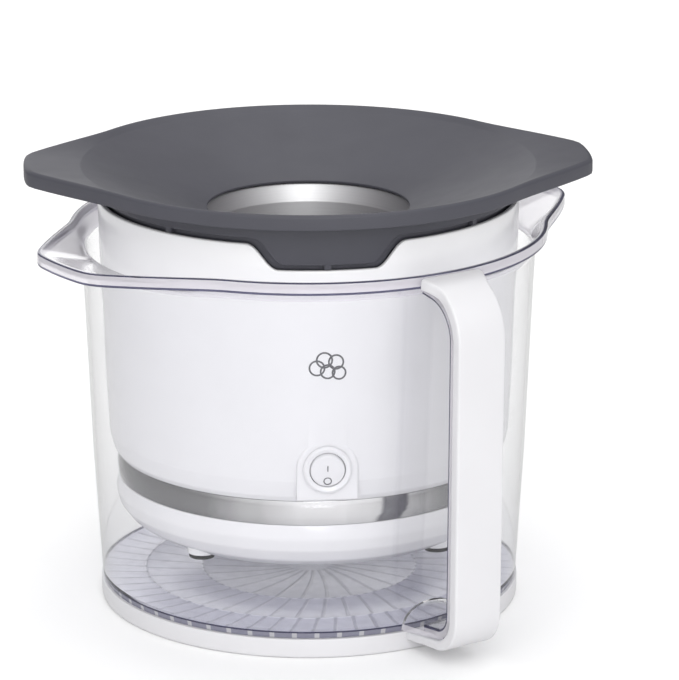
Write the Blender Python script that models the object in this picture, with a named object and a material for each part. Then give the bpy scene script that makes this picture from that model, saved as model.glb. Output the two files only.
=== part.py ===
"""Popcorn maker: a hot-air popper over its clear serving bowl, with its cover tray on top.

Lengths are in millimetres until place() turns them into metres. The bowl stands on z = 0 and its
axis is Z. The popper, its cover and its inner pieces use heights above the popper's own feet, and
hang from an empty at the height at which the popper is held. The switch faces -Y.
"""
import math

import bmesh
import bpy
from mathutils import Matrix

MM = 0.001
ROUND = 48          # sides of the shells
INNER = 32          # sides of the ducts and the chamber
FINE = 12           # sides of screws, holes and other small round pieces
GAP = 0.3           # between pieces that touch
SHARP = math.radians(35)

# Bowl and base
BASE_R = 95.5
BASE_H = 8.8
BASE_PLATE = 2.0
FLOOR_LOW = BASE_H + GAP
FLOOR_TOP = 11.9
WALL_TOP = 165.5
RIM_TOP = 174.0
RIM_R = 107.5
RIM_SKIRT = 5.6
# Ears of a rim: direction, reach, half angle of the blunt tip, hollowness of the sides
BOWL_EARS = (math.radians(29.5), 131.5, math.radians(9.5), 1.52)
COVER_EARS = (0.0, 127.3, math.radians(8), 1.75)
EAR_END = math.radians(36)

# Handle, in the upright plane through the axis at this angle
HANDLE_ANGLE = math.radians(-61)
GRIP_PLATE = 5.3
STRAP_PLATE = 4.0
GRIP_W = 24.5
STRAP_W = 21.0
TOP_BEND = (106.4, 147.6, 26.0)
FOOT_BEND = (114.0, 23.2, 17.3)

# Popper
SEAT = 12.5
HOVER = 22.2
POPPER_Z = SEAT + HOVER
PAN_TOP = 24.1
BAND_TOP = 35.5
HOUSING_TOP = 152.3
HOUSING_R = 94.7
HOUSING_WALL = 2.2
NOTCH_LOW = 141.1
NOTCH_HALF = 23.75
NOTCH_SLOPE = 0.78
FOOT_PLACE_R = 74.0
FOOT_ANGLES = [math.radians(45 + 90 * k) for k in range(4)]
POST_PLACE_R = 72.0
POST_ANGLES = [math.radians(20 + 90 * k) for k in range(4)]
SCREW_ANGLES = [math.radians(30 + 120 * k) for k in range(3)]
MOUNT_SCREW_R = 50.5

# Switch
SWITCH_Z = 51.3
PAD_HALF = 13.4
PAD_FACE = 91.3
ROCKER_AXIS = 90.2
ROCKER_R = 7.7
ROCKER_TILT = math.radians(10)

# Cord inlet
GLAND_Z = 52.0

# Cover
COVER_TOP = 169.1
COVER_LOW = 162.1
HOLE_R = 45.5
HOLE_TOP = 146.7
DISH_R = 104.0
DISH_TOP = 167.3
COVER_WALL = 2.4
FASCIA_R = 94.3
TAB_R = 93.9
FASCIA_LOW = 154.8
SKIRT_R = 91.0
SKIRT_LOW = 148.5
SKIRT_WALL = 1.8
TAB_LOW = 143.5

# Chamber
CHAMBER_TOP = 145.2
CHAMBER_R = 44.2
CHAMBER_WALL = 1.2
CHAMBER_FLOOR = 76.2

# colour, roughness, metallic
FINISHES = {
    "white": ((0.86, 0.86, 0.88), 0.22, 0.0),
    "clear": ((0.86, 0.86, 0.93), 0.05, 0.0),
    "grey": ((0.12, 0.13, 0.145), 0.5, 0.0),
    "dark": ((0.03, 0.03, 0.035), 0.6, 0.0),
    "polished": ((0.75, 0.75, 0.77), 0.12, 1.0),
    "aluminium": ((0.62, 0.62, 0.63), 0.35, 1.0),
    "steel": ((0.5, 0.5, 0.52), 0.4, 1.0),
    "mica": ((0.62, 0.52, 0.36), 0.7, 0.0),
    "wire": ((0.38, 0.33, 0.3), 0.45, 1.0),
    "rubber": ((0.02, 0.02, 0.022), 0.8, 0.0),
    "board": ((0.32, 0.22, 0.08), 0.6, 0.0),
    "lead": ((0.75, 0.75, 0.72), 0.5, 0.0),
}


def clear_scene():
    for thing in list(bpy.data.objects):
        bpy.data.objects.remove(thing, do_unlink=True)


def material(name, finish):
    colour, roughness, metallic = FINISHES[finish]
    made = bpy.data.materials.new(name)
    made.use_nodes = True
    shader = made.node_tree.nodes["Principled BSDF"]
    shader.inputs["Base Color"].default_value = (*colour, 1.0)
    shader.inputs["Roughness"].default_value = roughness
    shader.inputs["Metallic"].default_value = metallic
    made.diffuse_color = (*colour, 1.0)
    return made


def place(name, bm, parent, at=(0, 0, 0)):
    """Makes an object from a shape in millimetres, under a parent empty."""
    bmesh.ops.recalc_face_normals(bm, faces=bm.faces)
    bm.transform(Matrix.Scale(MM, 4))
    mesh = bpy.data.meshes.new(name)
    bm.to_mesh(mesh)
    bm.free()
    thing = bpy.data.objects.new(name, mesh)
    bpy.context.collection.objects.link(thing)
    thing.parent = parent
    thing.location = [value * MM for value in at]
    return thing


def node(name, bm, finish, parent, at=(0, 0, 0)):
    thing = place(name, bm, parent, at)
    thing.data.shade_smooth()
    thing.data.set_sharp_from_angle(angle=SHARP)
    thing.data.materials.append(material(name, finish))
    return thing


def combine(target, bm, operation):
    """Joins a shape to a piece, or cuts it out of it."""
    helper = place(f"{target.name}_tool_{len(target.modifiers)}", bm, target.parent)
    helper.hide_render = True
    helper.display_type = 'WIRE'
    modifier = target.modifiers.new(helper.name, 'BOOLEAN')
    modifier.operation = operation
    modifier.solver = 'EXACT'
    modifier.object = helper


def join(target, bm):
    combine(target, bm, 'UNION')


def cut(target, bm):
    combine(target, bm, 'DIFFERENCE')


def turned_by_angle(outline_at, sides=ROUND):
    """Turns a closed outline of (radius, height) points, which may change with the angle."""
    bm = bmesh.new()
    first = outline_at(0.0)
    on_axis = {k: bm.verts.new((0, 0, z)) for k, (r, z) in enumerate(first) if r == 0}
    columns = []
    for side in range(sides):
        angle = math.tau * side / sides
        column = []
        for k, (r, z) in enumerate(outline_at(angle)):
            if k in on_axis:
                column.append(on_axis[k])
            else:
                column.append(bm.verts.new((r * math.cos(angle), r * math.sin(angle), z)))
        columns.append(column)
    for side in range(sides):
        here = columns[side]
        there = columns[(side + 1) % sides]
        for k in range(len(first)):
            after = (k + 1) % len(first)
            corners = list(dict.fromkeys((here[k], there[k], there[after], here[after])))
            if len(corners) > 2:
                bm.faces.new(corners)
    return bm


def turned(outline, sides=ROUND):
    return turned_by_angle(lambda angle: outline, sides)


def rod(radius, low, high, at=(0, 0), sides=FINE):
    """An upright cylinder."""
    bm = turned([(0, low), (radius, low), (radius, high), (0, high)], sides)
    bm.transform(Matrix.Translation((at[0], at[1], 0)))
    return bm


def to_front(bm, height):
    """Lays an upright shape along -Y, with its axis at the given height."""
    bm.transform(Matrix.Translation((0, 0, height)) @ Matrix.Rotation(math.radians(90), 4, 'X'))
    return bm


def to_back(bm, height):
    bm.transform(Matrix.Translation((0, 0, height)) @ Matrix.Rotation(math.radians(-90), 4, 'X'))
    return bm


def block(low, high):
    size = [b - a for a, b in zip(low, high)]
    middle = [(a + b) / 2 for a, b in zip(low, high)]
    bm = bmesh.new()
    bmesh.ops.create_cube(bm, size=1.0, matrix=Matrix.Translation(middle) @ Matrix.Diagonal((*size, 1)))
    return bm


def merged(shapes):
    """Several separate shapes as one tool."""
    whole = bmesh.new()
    for shape in shapes:
        mesh = bpy.data.meshes.new("shape")
        shape.to_mesh(mesh)
        shape.free()
        whole.from_mesh(mesh)
        bpy.data.meshes.remove(mesh)
    return whole


def turned_copies(make, angles):
    """One shape for each angle about Z."""
    shapes = []
    for angle in angles:
        shape = make()
        shape.transform(Matrix.Rotation(angle, 4, 'Z'))
        shapes.append(shape)
    return merged(shapes)


def prism(points, low, high):
    """A flat outline raised along Z."""
    bm = bmesh.new()
    bottom = [bm.verts.new((x, y, low)) for x, y in points]
    top = [bm.verts.new((x, y, high)) for x, y in points]
    bm.faces.new(bottom)
    bm.faces.new(top)
    for k in range(len(points)):
        bm.faces.new((bottom[k - 1], bottom[k], top[k], top[k - 1]))
    return bm


def arc(centre_x, centre_y, radius, start, end, steps):
    """Points on an arc, from one angle to the other in degrees."""
    points = []
    for step in range(steps + 1):
        angle = math.radians(start + (end - start) * step / steps)
        points.append((centre_x + radius * math.cos(angle), centre_y + radius * math.sin(angle)))
    return points


def around(radius, angle):
    return (radius * math.cos(angle), radius * math.sin(angle))


def ear_reach(angle, axis, tip, blunt, hollow):
    """Radius of a rim that is round, with two opposite ears that end bluntly."""
    off = abs((angle - axis + math.pi / 2) % math.pi - math.pi / 2)
    fall = min(max((off - blunt) / (EAR_END - blunt), 0.0), 1.0)
    return RIM_R + (tip - RIM_R) * (1 - fall) ** hollow


def bent_panel(half_low, half_high, low, high, r_out, r_in, columns=8):
    """An upright panel that follows a circle at the front; its half width changes with height."""
    bm = bmesh.new()
    corners = []
    for column in range(columns + 1):
        share = 2 * column / columns - 1
        ring = []
        for radius, half, z in (
            (r_out, half_low, low), (r_out, half_high, high),
            (r_in, half_high, high), (r_in, half_low, low),
        ):
            angle = math.asin(share * half / r_out) - math.pi / 2
            ring.append(bm.verts.new((*around(radius, angle), z)))
        corners.append(ring)
    for before, after in zip(corners, corners[1:]):
        for k in range(4):
            bm.faces.new((before[k - 1], before[k], after[k], after[k - 1]))
    bm.faces.new(corners[0])
    bm.faces.new(corners[-1])
    return bm


def handle_strip(outline, width, flare):
    """A strip in the handle's plane, wider where it leaves the rim."""
    bm = prism(outline, -width / 2, width / 2)
    start, full = 118.0, 110.0
    for vert in bm.verts:
        if vert.co.y > RIM_TOP / 2:
            share = min(max((start - vert.co.x) / (start - full), 0.0), 1.0)
            vert.co.z *= 1 + flare * share
    upright = Matrix.Rotation(math.radians(90), 4, 'X')
    bm.transform(Matrix.Rotation(HANDLE_ANGLE, 4, 'Z') @ upright)
    return bm


def bends(inset, steps_top=6, steps_foot=4):
    """The grip's line from rim to foot, set in from its outer face."""
    top_x, top_z, top_r = TOP_BEND
    foot_x, foot_z, foot_r = FOOT_BEND
    upper = arc(top_x, top_z, top_r - inset, 84, 0, steps_top)
    lower = arc(foot_x, foot_z, foot_r - inset, 0, -75, steps_foot)
    return upper + lower


def base_and_handle(parent):
    outline = [
        (0, 0), (BASE_R - 1.5, 0), (BASE_R, 1.5), (BASE_R, BASE_H),
        (BASE_R - 2.2, BASE_H), (BASE_R - 2.2, BASE_PLATE), (0, BASE_PLATE),
    ]
    piece = node("base_and_handle", turned(outline), "white", parent)
    foot = [(108.0, 5.9), (94.0, 4.4), (94.0, 8.3), (104.0, 9.9)]
    strip = bends(0) + foot + bends(GRIP_PLATE)[::-1]
    join(piece, handle_strip(strip, GRIP_W, 0.26))


def bowl_outline(angle):
    rim = ear_reach(angle, *BOWL_EARS)
    return [
        (0, FLOOR_TOP), (91.4, FLOOR_TOP), (92.9, 13.6), (96.2, 70.0), (99.4, 150.0),
        (99.9, WALL_TOP), (rim - 1.6, RIM_TOP), (rim, RIM_TOP - 1.4), (rim, RIM_TOP - RIM_SKIRT),
        (rim - 2.0, RIM_TOP - RIM_SKIRT), (rim - 2.2, RIM_TOP - 2.6), (102.3, WALL_TOP - 2.0),
        (101.6, 150.0), (98.4, 70.0), (95.0, 11.0), (94.4, FLOOR_LOW), (92.9, FLOOR_LOW),
        (92.9, 4.0), (91.0, 4.0), (91.0, FLOOR_LOW), (0, FLOOR_LOW),
    ]


def serving_bowl(parent):
    piece = node("serving_bowl", turned_by_angle(bowl_outline), "clear", parent)
    outer = GRIP_PLATE + GAP + 0.1
    inner = outer + STRAP_PLATE
    foot = [(104.0, 10.5), (94.0, 9.6), (94.4, 22.4), (108.0, 19.4)]
    strip = [(103.2, 168.6)] + bends(outer) + foot + bends(inner)[::-1] + [(101.2, 164.2)]
    join(piece, handle_strip(strip, STRAP_W, 0.1))


def housing(parent):
    wall = HOUSING_WALL
    outline = [
        (85.2, BAND_TOP), (87.0, BAND_TOP), (88.6, 37.6), (90.6, 45.3), (92.8, 107.3),
        (94.0, 125.3), (HOUSING_R, HOUSING_TOP), (HOUSING_R - wall, HOUSING_TOP),
        (94.0 - wall, 125.3), (92.8 - wall, 107.3), (90.6 - wall, 45.3), (86.6, 39.4),
        (85.2, 37.6),
    ]
    piece = node("housing", turned(outline), "white", parent)
    pad = [(-PAD_HALF, -15.5), (PAD_HALF, -15.5)] + arc(0, 0, PAD_HALF, 0, 180, 10)
    join(piece, to_front(prism(pad, 86.6, PAD_FACE), SWITCH_Z))
    cut(piece, to_front(rod(9.9, 80, 96, sides=20), SWITCH_Z))
    cut(piece, to_back(rod(6.3, 80, 96, sides=16), GLAND_Z))
    high = HOUSING_TOP + 4
    half_high = NOTCH_HALF + NOTCH_SLOPE * (high - NOTCH_LOW)
    cut(piece, bent_panel(NOTCH_HALF, half_high, NOTCH_LOW, high, 99.0, 86.0))


def trim_band(parent):
    outline = [
        (85.1, PAN_TOP + GAP), (86.5, PAN_TOP + GAP), (87.0, 28.0), (87.0, 31.5),
        (86.6, BAND_TOP - GAP), (85.1, BAND_TOP - GAP),
    ]
    node("trim_band", turned(outline), "polished", parent)


def base_pan(parent):
    outline = [
        (0, 1.8), (74.4, 1.8), (76.4, 2.6), (82.4, 6.6), (86.3, 12.0), (88.0, 17.3), (86.5, PAN_TOP),
        (84.7, PAN_TOP), (84.7, 39.0), (82.4, 39.0), (82.4, PAN_TOP), (84.6, 18.0), (80.0, 9.4),
        (74.4, 4.3), (0, 4.3),
    ]
    piece = node("base_pan", turned(outline), "white", parent)
    feet = [rod(6.5, 1.5 + GAP, 10.0, around(FOOT_PLACE_R, a), 16) for a in FOOT_ANGLES]
    join(piece, merged(feet))
    bosses = [rod(5.0, 3.0, 8.0, around(POST_PLACE_R, a)) for a in POST_ANGLES]
    join(piece, merged(bosses))
    heads = [rod(3.7, 0.0, 4.6, around(POST_PLACE_R, a)) for a in POST_ANGLES]
    cut(piece, merged(heads))
    holes = [rod(1.9, 4.0, 9.0, around(POST_PLACE_R, a)) for a in POST_ANGLES]
    cut(piece, merged(holes))
    slots = [math.tau * k / 10 for k in range(10)]
    cut(piece, turned_copies(lambda: block((14, -2.4, 0), (40, 2.4, 6)), slots))


def feet(parent):
    outline = [(0, 0), (5.0, 0), (5.8, 0.6), (5.8, 1.5), (0, 1.5)]
    for number, angle in enumerate(FOOT_ANGLES, start=1):
        node(f"foot_{number}", turned(outline, 16), "rubber", parent, (*around(FOOT_PLACE_R, angle), 0))


def pan_screws(parent):
    outline = [(0, 2.4), (3.2, 2.4), (3.2, 4.3), (1.5, 4.3), (1.5, 18.0), (0, 18.0)]
    for number, angle in enumerate(POST_ANGLES, start=1):
        place_at = (*around(POST_PLACE_R, angle), 0)
        node(f"pan_screw_{number}", turned(outline, FINE), "steel", parent, place_at)


def upper_deck(parent):
    outline = [
        (48.7, 137.0), (91.6, 137.0), (91.6, 139.5), (54.0, 139.5), (52.4, CHAMBER_TOP - 1.6),
        (48.7, CHAMBER_TOP - 1.6),
    ]
    piece = node("upper_deck", turned(outline), "dark", parent)
    posts = [rod(3.6, 8.0 + GAP, 138.0, around(POST_PLACE_R, a)) for a in POST_ANGLES]
    join(piece, merged(posts))
    bores = [rod(1.9, 5.0, 20.0, around(POST_PLACE_R, a)) for a in POST_ANGLES]
    cut(piece, merged(bores))


def popping_chamber(parent):
    r, t = CHAMBER_R, CHAMBER_WALL
    outline = [
        (0, 79.4), (40.6, CHAMBER_FLOOR), (r, 79.0), (r, 139.0), (46.6, CHAMBER_TOP - 0.8),
        (50.5, CHAMBER_TOP), (50.5, CHAMBER_TOP - t), (47.6, CHAMBER_TOP - 1.6), (r + t, 138.6),
        (r + t, 78.2), (41.2, CHAMBER_FLOOR - t), (0, 78.2),
    ]
    piece = node("popping_chamber", turned(outline, INNER), "aluminium", parent)

    def louvre():
        slot = block((-6, -1.3, -5), (6, 1.3, 5))
        slot.transform(Matrix.Translation((r, 0, 87)) @ Matrix.Rotation(math.radians(28), 4, 'X'))
        return slot

    cut(piece, turned_copies(louvre, [math.tau * (k + 0.5) / 12 for k in range(12)]))


def heat_shield(parent):
    outline = [(55.8, 62.3), (55.8, 136.7), (54.6, 136.7), (54.6, 62.3)]
    node("heat_shield", turned(outline, INNER), "steel", parent)


def fan_duct(parent):
    outline = [
        (56.5, 5.0), (56.5, 62.0), (54.5, 62.0), (54.5, 48.5), (47.5, 48.5), (47.5, 45.5),
        (54.5, 45.5), (54.5, 5.0),
    ]
    piece = node("fan_duct", turned(outline, INNER), "dark", parent)
    holes = [rod(1.6, 46.2, 49.5, around(MOUNT_SCREW_R, a)) for a in SCREW_ANGLES]
    cut(piece, merged(holes))


def motor_mount(parent):
    plate = [(2.4, 48.8), (54.2, 48.8), (54.2, 50.3), (2.4, 50.3)]
    piece = node("motor_mount", turned(plate, INNER), "steel", parent)
    vents = [rod(9.0, 48.0, 51.0, around(33.0, math.tau * (k + 0.2) / 6), 14) for k in range(6)]
    holes = [rod(1.6, 48.0, 51.0, around(MOUNT_SCREW_R, a)) for a in SCREW_ANGLES]
    cut(piece, merged(vents + holes))
    outline = [(0, 46.5), (1.3, 46.5), (1.3, 50.6), (2.8, 50.6), (2.8, 52.2), (0, 52.2)]
    for number, angle in enumerate(SCREW_ANGLES, start=1):
        place_at = (*around(MOUNT_SCREW_R, angle), 0)
        node(f"mount_screw_{number}", turned(outline, FINE), "steel", parent, place_at)


def motor(parent):
    case = [(1.9, 22.0), (16.0, 22.0), (16.0, 47.0), (14.5, 48.5), (1.9, 48.5)]
    node("motor_case", turned(case, 20), "steel", parent)
    cap = [(1.9, 18.6), (12.0, 18.6), (16.0, 20.0), (16.0, 21.7), (1.9, 21.7)]
    node("motor_cap", turned(cap, 20), "dark", parent)


def rotor(parent):
    node("motor_shaft", rod(1.5, 4.9, 48.4), "steel", parent)
    tip, root, half = 44.0, 7.0, 0.9
    star = []
    for blade in range(8):
        angle = math.tau * blade / 8
        out_x, out_y = around(1.0, angle)
        for along, across in ((root, -half), (tip, -half), (tip, half), (root, half)):
            star.append((along * out_x - across * out_y, along * out_y + across * out_x))
    impeller = node("fan_impeller", prism(star, 8.0, 16.0), "dark", parent)
    join(impeller, rod(45.0, 15.2, 17.5, sides=24))
    cut(impeller, rod(1.8, 7.0, 19.0))
    nut = [(1.8, 5.4), (4.0, 5.4), (4.0, 7.7), (1.8, 7.7)]
    node("fan_nut", turned(nut, FINE), "steel", parent)


def heater(parent):
    low, high, half, reach = 55.0, 69.0, 0.5, 43.0
    cross = node("heater_frame", block((-reach, -half, low), (reach, half, high)), "mica", parent)
    join(cross, block((-half, -reach, low + 1), (half, reach, high - 1)))
    coil = bpy.data.curves.new("heater_coil", 'CURVE')
    coil.dimensions = '3D'
    coil.bevel_depth = 0.9 * MM
    coil.bevel_resolution = 1
    coil.use_fill_caps = True
    turns, points = 3, 45
    spline = coil.splines.new('POLY')
    spline.points.add(points)
    for k, point in enumerate(spline.points):
        share = k / points
        x, y = around(12.0 + 26.0 * share, math.tau * turns * share)
        point.co = (x * MM, y * MM, 70.4 * MM, 1.0)
    thing = bpy.data.objects.new("heater_coil", coil)
    bpy.context.collection.objects.link(thing)
    thing.parent = parent
    coil.materials.append(material("heater_coil", "wire"))


def lead(name, route, parent):
    """An inner wire along points chosen by hand, rounded by a curve."""
    wire = bpy.data.curves.new(name, 'CURVE')
    wire.dimensions = '3D'
    wire.bevel_depth = 1.4 * MM
    wire.bevel_resolution = 1
    wire.use_fill_caps = True
    spline = wire.splines.new('POLY')
    spline.points.add(len(route) - 1)
    for point, place_at in zip(spline.points, route):
        point.co = (*[value * MM for value in place_at], 1.0)
    thing = bpy.data.objects.new(name, wire)
    bpy.context.collection.objects.link(thing)
    thing.parent = parent
    wire.materials.append(material(name, "lead"))


def leads(parent):
    supply = [(0, 83.2, GLAND_Z), (4, 81.2, GLAND_Z)]
    first, last, steps = 78.0, -82.0, 16
    for step in range(steps + 1):
        angle = math.radians(first + (last - first) * step / steps)
        supply.append((*around(80.0, angle), GLAND_Z))
    lead("supply_lead", supply, parent)
    heater_side = [
        (-6, -68.2, 51), (-14, -66, 52), (-26, -60, 56), (-38, -52, 63), (-48, -42, 71),
        (-55, -31, 79), (-60, -19, 86), (-65, -10, 91), (-68, -4, 94.5), (-67.8, 0, 95), (-65.9, 0, 95),
    ]
    lead("heater_lead", heater_side, parent)


def cutouts(parent):
    thermostat = rod(7.0, 56.3, 64.2, sides=16)
    thermostat.transform(Matrix.Translation((0, 0, 95)) @ Matrix.Rotation(math.radians(-90), 4, 'Y'))
    node("thermostat", thermostat, "steel", parent)
    fuse = rod(2.0, 90.0, 101.0, around(58.6, math.radians(150)))
    node("thermal_fuse", fuse, "aluminium", parent)
    board = node("rectifier_board", block((-15, 58.2, 14), (15, 59.8, 36)), "board", parent)
    for x in (-9, -3, 3, 9):
        diode = rod(1.6, 21.0, 29.0, (x, 61.0), 8)
        join(board, diode)


def switch(parent):
    bezel = [(8.1, 84.0), (9.6, 84.0), (9.6, 91.6), (10.6, 91.6), (10.6, 92.3), (10.0, 92.9), (8.1, 92.5)]
    node("switch_bezel", to_front(turned(bezel, 24), SWITCH_Z), "clear", parent)
    body = block((-8, -83.7, SWITCH_Z - 9), (8, -70, SWITCH_Z + 9))
    node("switch_body", body, "dark", parent)


def rocker(parent):
    """A round button, turned about its own origin on the hinge axis."""
    side = [(ROCKER_R * math.cos(math.radians(a)), ROCKER_R * math.sin(math.radians(a)))
            for a in (-22, -8, 6, 19)]
    outline = [(0, side[0][1])] + side + [(0, side[-1][1] + 0.2)]
    piece = node("rocker", to_front(turned(outline, 24), 0), "white", parent, (0, -ROCKER_AXIS, SWITCH_Z))
    piece.rotation_euler = (ROCKER_TILT, 0, 0)


def cord_gland(parent):
    outline = [
        (3.4, 84.0), (8.0, 84.0), (8.0, 86.0), (6.0, 86.0), (6.0, 91.6), (7.6, 91.6), (7.2, 94.3),
        (3.4, 94.3),
    ]
    node("cord_gland", to_back(turned(outline, 16), GLAND_Z), "dark", parent)


def cover_outline(angle):
    rim = ear_reach(angle, *COVER_EARS)
    slope = (DISH_TOP - HOLE_TOP) / (DISH_R - HOLE_R)
    skirt_in = SKIRT_R - SKIRT_WALL
    fascia_high = HOLE_TOP + slope * (FASCIA_R - HOLE_R) - COVER_WALL
    inside_high = HOLE_TOP + slope * (skirt_in - HOLE_R) - COVER_WALL
    return [
        (HOLE_R, HOLE_TOP), (DISH_R, DISH_TOP), (rim - 2.0, COVER_TOP), (rim, COVER_TOP - 1.0),
        (rim, COVER_LOW + 0.6), (rim - 0.7, COVER_LOW), (rim - 2.4, COVER_LOW),
        (rim - 2.8, DISH_TOP - COVER_WALL), (DISH_R - 1.5, DISH_TOP - COVER_WALL - 0.4),
        (FASCIA_R, fascia_high), (FASCIA_R, FASCIA_LOW), (SKIRT_R, FASCIA_LOW),
        (SKIRT_R, SKIRT_LOW), (skirt_in, SKIRT_LOW), (skirt_in, inside_high),
        (52.0, HOLE_TOP + 0.1), (50.9, CHAMBER_TOP + 0.4), (HOLE_R, CHAMBER_TOP + 0.4),
    ]


def cover_tray(parent):
    piece = node("cover_tray", turned_by_angle(cover_outline), "grey", parent)
    tab_high = 161.8
    half_low = NOTCH_HALF + NOTCH_SLOPE * (TAB_LOW - NOTCH_LOW) - 2.9
    half_high = half_low + NOTCH_SLOPE * (tab_high - TAB_LOW)
    join(piece, bent_panel(half_low, half_high, TAB_LOW, tab_high, TAB_R, SKIRT_R - 1.0))
    spacers = [math.radians(45 * k) for k in range(8) if k != 6]
    spacer_low = HOUSING_TOP + GAP
    join(piece, turned_copies(
        lambda: block((SKIRT_R - 1.0, -1.6, spacer_low), (93.8, 1.6, FASCIA_LOW + 1.0)), spacers))
    join(piece, block((-1.4, -93.6, NOTCH_LOW + GAP), (1.4, 0.6 - SKIRT_R, TAB_LOW + 1.0)))


def empty(name, height=0.0):
    thing = bpy.data.objects.new(name, None)
    bpy.context.collection.objects.link(thing)
    thing.location = (0, 0, height * MM)
    return thing


def main():
    clear_scene()
    bowl_frame = empty("bowl_frame")
    base_and_handle(bowl_frame)
    serving_bowl(bowl_frame)
    popper_frame = empty("popper_frame", POPPER_Z)
    for make in (
        housing, trim_band, base_pan, feet, pan_screws, upper_deck, popping_chamber, heat_shield,
        fan_duct, motor_mount, motor, rotor, heater, leads, cutouts, switch, rocker, cord_gland,
        cover_tray,
    ):
        make(popper_frame)


main()
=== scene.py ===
"""Looks of the popcorn maker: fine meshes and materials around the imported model.

Lengths are in millimetres until a mesh is made. The popper's, cover's and chamber's pieces use
heights above the popper's feet, and are raised by the feet's own height.
"""
import math

import bmesh
import bpy
from mathutils import Matrix, Vector


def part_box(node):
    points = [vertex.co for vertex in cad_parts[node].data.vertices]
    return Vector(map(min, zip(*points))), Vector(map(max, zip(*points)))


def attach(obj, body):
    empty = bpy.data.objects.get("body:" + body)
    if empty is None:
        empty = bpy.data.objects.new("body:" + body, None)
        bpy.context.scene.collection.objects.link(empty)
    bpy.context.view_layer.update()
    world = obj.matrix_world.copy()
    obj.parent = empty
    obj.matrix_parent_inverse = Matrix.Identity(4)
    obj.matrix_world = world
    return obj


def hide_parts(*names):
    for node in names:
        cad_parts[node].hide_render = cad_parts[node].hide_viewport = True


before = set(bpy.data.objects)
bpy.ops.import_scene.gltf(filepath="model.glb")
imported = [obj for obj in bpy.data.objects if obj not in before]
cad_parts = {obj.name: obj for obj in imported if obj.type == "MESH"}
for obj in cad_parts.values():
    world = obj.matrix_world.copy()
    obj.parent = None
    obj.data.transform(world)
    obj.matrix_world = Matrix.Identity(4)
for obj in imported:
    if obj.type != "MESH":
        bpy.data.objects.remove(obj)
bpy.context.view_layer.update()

MM = 0.001

FEET_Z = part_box("foot_1")[0].z / MM
RIM_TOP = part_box("serving_bowl")[1].z / MM
COVER_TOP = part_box("cover_tray")[1].z / MM - FEET_Z
HOUSING_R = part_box("housing")[1].x / MM
HOUSING_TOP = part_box("housing")[1].z / MM - FEET_Z
BAND_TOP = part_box("trim_band")[1].z / MM - FEET_Z + 0.3
PAN_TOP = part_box("trim_band")[0].z / MM - FEET_Z - 0.3

# Bowl and base
BASE_R = 95.5
BASE_H = 8.8
FLOOR_TOP = 11.9
LUGS = 60
GROOVE_LEAN = 0.166
RIM_R = 107.5
RIM_SKIRT = 5.6
WALL_TOP = 165.5

# Two opposite ears of a rim: direction, reach, blunt half angle, hollowness and easing of corners
BOWL_EARS = (math.radians(29.5), 131.5, math.radians(9.5), 1.52, math.radians(2.4))
COVER_EARS = (0.0, 127.3, math.radians(8), 1.75, math.radians(1.5))
EAR_END = math.radians(36)

# Handle, in the upright plane through the axis at this angle
HANDLE_ANGLE = math.radians(-61)
GRIP_PLATE = 5.3
STRAP_PLATE = 4.0
GRIP_W = 24.5
STRAP_W = 21.0
TOP_BEND = (106.4, 147.6, 26.0)
FOOT_BEND = (114.0, 23.2, 17.3)

# Popper
HOUSING_WALL = 2.2
NOTCH_LOW = 141.1
NOTCH_HALF = 23.75
NOTCH_SLOPE = 0.78
SWITCH_Z = 51.3
PAD_HALF = 13.4
PAD_FACE = 91.3
ROCKER_AXIS = 90.2
ROCKER_R = 7.7
ROCKER_TILT = math.radians(10)
GLAND_Z = 52.0
MARK_Z = 96.0
FOOT_PLACE_R = 74.0

# Cover
COVER_LOW = 162.1
HOLE_R = 45.5
HOLE_TOP = 146.7
DISH_R = 104.0
DISH_TOP = 167.3
COVER_WALL = 2.4
FASCIA_R = 94.3
FASCIA_LOW = 154.8
SKIRT_R = 91.0
SKIRT_LOW = 148.5
SKIRT_WALL = 1.8
TAB_LOW = 143.5
SPACERS = 8
FRONT_SPACER = 6

# Chamber
CHAMBER_TOP = 145.2
CHAMBER_R = 44.2

EVEN = [math.tau * k / 192 for k in range(192)]
SHARP = math.radians(38)

# Material slots of the clear bowl, as numbers: clear wall, painted grey reflection and painted dark
# reflection lines along its edges, patterned floor, lug band
WALL, PAINTED_GREY_EDGE, PAINTED_DARK_LINE, PATTERN, SIDE = range(5)


# --- shapes -----------------------------------------------------------------------------------

def filleted(points, steps=4):
    """Rounds the corners of a closed outline of (x, y, radius[, finish]) points.

    Gives (x, y, finish) points, always the same number, so outlines can be joined into a skin.
    A corner's finish covers its rounding and the stretch after it.
    """
    made = []
    count = len(points)
    for k, corner in enumerate(points):
        x, y, radius = corner[:3]
        finish = corner[3] if len(corner) > 3 else 0
        if not radius:
            made.append((x, y, finish))
            continue
        here = Vector((x, y))
        before = Vector(points[k - 1][:2]) - here
        after = Vector(points[(k + 1) % count][:2]) - here
        reach = radius / max(math.tan(before.angle(after) / 2), 0.2)
        start = here + before.normalized() * min(reach, before.length * 0.48)
        end = here + after.normalized() * min(reach, after.length * 0.48)
        for step in range(steps + 1):
            t = step / steps
            spot = start * (1 - t) ** 2 + here * 2 * t * (1 - t) + end * t ** 2
            made.append((spot.x, spot.y, finish))
    return made


def to_piece(name, verts, faces, finishes=None, height=0.0):
    mesh = bpy.data.meshes.new(name)
    mesh.from_pydata([(x * MM, y * MM, (z + height) * MM) for x, y, z in verts], [], faces)
    if finishes:
        mesh.polygons.foreach_set("material_index", finishes)
    finish_mesh(mesh)
    thing = bpy.data.objects.new(name, mesh)
    bpy.context.scene.collection.objects.link(thing)
    return thing


def finish_mesh(mesh):
    bm = bmesh.new()
    bm.from_mesh(mesh)
    bmesh.ops.recalc_face_normals(bm, faces=bm.faces)
    bm.to_mesh(mesh)
    bm.free()
    smooth(mesh)


def smooth(mesh):
    mesh.shade_smooth()
    mesh.set_sharp_from_angle(angle=SHARP)


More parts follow.
